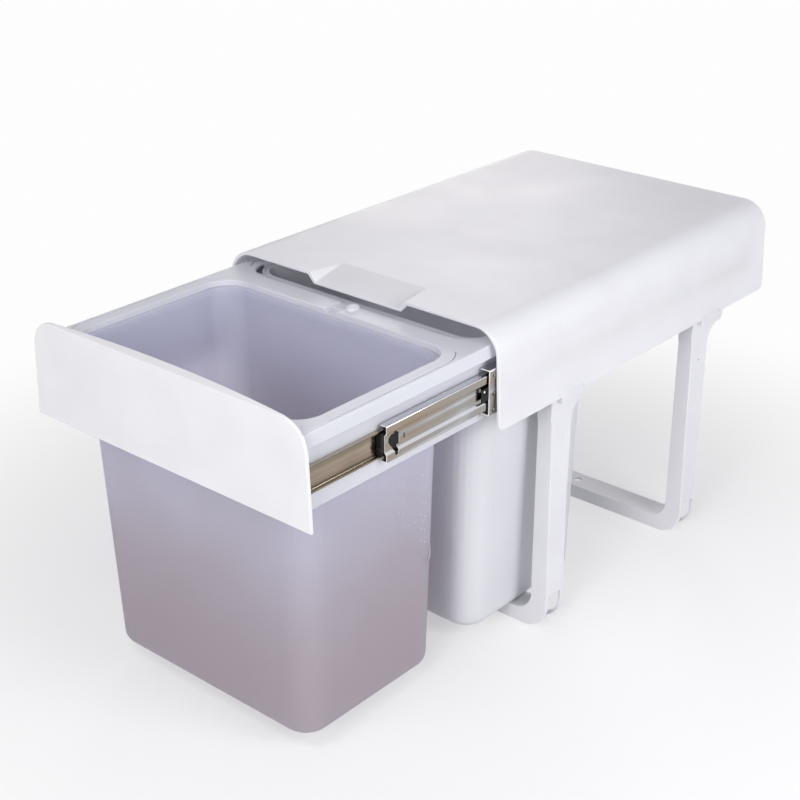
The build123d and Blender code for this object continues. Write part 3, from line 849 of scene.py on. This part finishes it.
@dataclass(frozen=True)
class DriveRecessShade:
    """Black crosses on the heads of the slides' and the panel's screws, painted shade that stands in for
    their cross recesses, in millimetres.
    """

    reach: float = 1.9
    width: float = 0.75
    depth: float = 0.06
    proud: float = 0.02
    panel_head: float = -472.4
    panel_x: tuple[float, ...] = (-120.0, -40.0, 40.0, 120.0)
    panel_z: float = 295.0
    panel_share: float = 1.4
    slide_z: float = 301.7
    outer_x: float = 166.6
    outer_y: tuple[float, ...] = (-206.0, -104.0, -2.0, 100.0, 190.0)
    inner_x: float = 156.3
    inner_y: tuple[float, ...] = (-364.0, -206.0, -48.0)

    def build(self, palette: Palette) -> None:
        """Make the black crosses, painted recess shade, on the fixed screws and on the drawer's screws.

        Args:
            palette: the built materials.
        """
        reach, width, depth = self.reach * MM, self.width * MM, self.depth * MM
        outer, inner = (self.outer_x - self.proud) * MM, (self.inner_x + self.proud) * MM
        fixed, moving = Form("fixed_drive_recess_shade"), Form("drawer_drive_recess_shade")
        for side in (1, -1):
            for y in self.outer_y:
                fixed.cross((side * outer, y * MM, self.slide_z * MM), (-side, 0, 0), reach, width, depth)
            for y in self.inner_y:
                moving.cross((side * inner, y * MM, self.slide_z * MM), (side, 0, 0), reach, width, depth)
        for x in self.panel_x:
            moving.cross((x * MM, (self.panel_head + self.proud) * MM, self.panel_z * MM), (0, 1, 0),
                         reach * self.panel_share, width * self.panel_share, depth)
        # Black plastic here is painted shade: the recesses are dark only from shade.
        fixed.done(palette, Finish.BLACK_PLASTIC, "housing")
        moving.done(palette, Finish.BLACK_PLASTIC, "drawer")


@dataclass(frozen=True)
class LegPeep:
    """A black disc in the tiny round hole in the outer face of the rear leg's uprights, painted shade for
    the hole's dark inside, in millimetres.
    """

    place: Point = (168.46, 127.6, 212.8)
    radius: float = 0.9
    sunk: float = 0.5
    proud: float = 0.03
    sides: int = 16

    def build(self, palette: Palette) -> None:
        """Make the black discs, painted shade in the holes.

        Args:
            palette: the built materials.
        """
        form = Form("leg_peep_hole_shade")
        x, y, z = self.place
        profile = [(self.radius * MM, -self.sunk * MM), (self.radius * MM, self.proud * MM)]
        for side in (1, -1):
            form.lathe(profile, (side * x * MM, y * MM, z * MM), (side, 0.0, 0.0), self.sides)
        # Black plastic here is painted shade: the hole is dark only from shade.
        form.done(palette, Finish.BLACK_PLASTIC, "housing")


# ---- stage, light and camera -----------------------------------------------------------------
@dataclass(frozen=True)
class Stage:
    """A pale floor that fades to white, and a white world.

    The floor glows a little, by `under`, so that its shadow stays soft, and all of it is
    white beyond the `fade` distances. The `fill` is the world's light on everything.
    """

    radius: float = 14.0
    sides: int = 96
    shade: Colour = (0.91, 0.91, 0.915)
    white: Colour = (0.985, 0.985, 0.99)
    centre: Point = (0.0, -0.12, 0.0)
    fade: Pair = (0.30, 0.85)
    under: float = 0.45
    roughness: float = 0.9
    mirror: float = 0.1
    fill: float = 0.3
    fill_colour: Colour = (0.93, 0.94, 1.0)

    def seen(self, graph: Graph) -> Wire:
        """Tell the rays that see the floor and the world as white from the rest.

        Args:
            graph: the graph of the floor or the world.

        Returns:
            1 for rays from the eye, a mirror or a clear piece, and 0 for all others.
        """
        path = graph.node("ShaderNodeLightPath", output="Is Camera Ray").socket.node
        rays = [Wire(graph, path.outputs[name]) for name in
                ("Is Camera Ray", "Is Glossy Ray", "Is Transmission Ray")]
        total = rays[0] + rays[1] + rays[2]
        return graph.node("ShaderNodeMath", {"operation": "MINIMUM"}, {0: total, 1: 1.0})

    def build_floor(self) -> None:
        """Make the floor: it keeps the shadow near the unit and fades to white."""
        mesh = bpy.data.meshes.new("floor")
        form = bmesh.new()
        bmesh.ops.create_circle(form, cap_ends=True, segments=self.sides, radius=self.radius)
        form.to_mesh(mesh)
        form.free()
        floor = bpy.data.objects.new("floor", mesh)
        floor.location = self.centre
        bpy.context.scene.collection.objects.link(floor)
        graph = Graph.material("floor_paper")
        distance = graph.node("ShaderNodeVectorMath", {"operation": "LENGTH"},
                              {0: graph.place()}, "Value")
        lit = graph.surface(Base_Color=self.shade, Roughness=self.roughness,
                            Specular_IOR_Level=self.mirror)
        glow = graph.light("ShaderNodeEmission", self.white, 1.0)
        share = (self.under + graph.band(distance, *self.fade) * (1 - self.under)) * self.seen(graph)
        floor.data.materials.append(graph.done(graph.mixed(share, lit, glow)))
        log.info("floor on the stage, radius %.1f m", self.radius)

    def build_world(self) -> None:
        """Make the world: white to the eye, a soft fill for everything else."""
        graph = Graph(bpy.data.worlds.new("studio_world"))
        soft = graph.light("ShaderNodeBackground", self.fill_colour, self.fill)
        white = graph.light("ShaderNodeBackground", self.white, 1.0)
        bpy.context.scene.world = graph.done(graph.mixed(self.seen(graph), soft, white))


@dataclass(frozen=True)
class Lamp:
    """One soft area light, in metres and watts, that looks at a point of the unit."""

    name: str
    place: Point
    target: Point
    size: float
    power: float
    colour: Colour = (1.0, 1.0, 1.0)

    def build(self) -> None:
        """Make the light."""
        data = bpy.data.lights.new(self.name, "AREA")
        data.shape = "DISK"
        data.size = self.size
        data.energy = self.power
        data.color = self.colour
        lamp = bpy.data.objects.new(self.name, data)
        lamp.location = self.place
        towards = Vector(self.target) - Vector(self.place)
        lamp.rotation_euler = towards.to_track_quat("-Z", "Y").to_euler()
        bpy.context.scene.collection.objects.link(lamp)
        log.info("lamp %s of %.1f W", self.name, self.power)


LAMPS = (
    Lamp("key_front", (0.9, -2.5, 1.3), (0.0, -0.2, 0.15), 1.0, 26.0, (1.0, 0.99, 0.98)),
    Lamp("near_right", (1.25, -0.15, 0.75), (0.15, 0.0, 0.3), 0.7, 8.5, (0.985, 0.99, 1.0)),
    Lamp("high_front", (0.2, -1.2, 1.45), (0.0, -0.2, 0.3), 0.7, 6.5, (0.985, 0.985, 1.0)),
    Lamp("warm_rear", (-1.5, 1.7, 0.9), (0.0, 0.1, 0.2), 1.0, 9.0, (1.0, 0.93, 0.90)),
)


@dataclass(frozen=True)
class PhotoCamera:
    """The camera at the photograph's angle, solved from the cover's edges.

    Its place and reach are in metres and its angles in degrees.
    """

    place: Point = (0.9396, -1.2606, 0.8956)
    azimuth: float = 40.75
    elevation: float = 25.18
    focal_pixels: float = 1573.8
    reach: float = 60.0

    def build(self) -> None:
        """Make the camera and use it."""
        data = bpy.data.cameras.new("photo_camera")
        data.sensor_width = SENSOR
        data.lens = self.focal_pixels * SENSOR / PHOTO_SIDE
        data.clip_end = self.reach
        camera = bpy.data.objects.new("photo_camera", data)
        turn, tilt = math.radians(self.azimuth), math.radians(self.elevation)
        back = Vector((math.sin(turn) * math.cos(tilt), -math.cos(turn) * math.cos(tilt),
                       math.sin(tilt)))
        right = Vector((math.cos(turn), math.sin(turn), 0.0))
        up = back.cross(right)
        facing = Matrix((right, up, back)).transposed().to_4x4()
        camera.matrix_world = Matrix.Translation(self.place) @ facing
        bpy.context.scene.collection.objects.link(camera)
        bpy.context.scene.camera = camera


# ---- the whole ----------------------------------------------------------------------------
def plain(box: Iterable[Iterable[float]]) -> list[list[float]]:
    """Return a box's corners as plain lists of numbers."""
    return [[float(value) for value in corner] for corner in box]


def main() -> None:
    """Load the frame, dress it, add the small parts, and set the stage."""
    logging.basicConfig(level=logging.INFO, format="%(name)s: %(message)s")
    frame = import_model()
    palette = Palette()
    finishes = palette.dress_by_record(frame)
    edges = SoftEdges()
    for name, piece in frame["nodes"].items():
        edges.soften(piece, finishes[name])
    LitreScale().build(palette)
    GateMark("front_gate_mark", -359.15).build(palette, Finish.FROSTED_BIN)
    GateMark("rear_gate_mark", -127.15).build(palette, Finish.WHITE_BIN)
    DriveRecessShade().build(palette)
    LegPeep().build(palette)
    stage = Stage()
    stage.build_floor()
    stage.build_world()
    for lamp in LAMPS:
        lamp.build()
    PhotoCamera().build()
    bpy.context.scene.view_settings.view_transform = "Standard"


if __name__ == "__main__":
    main()
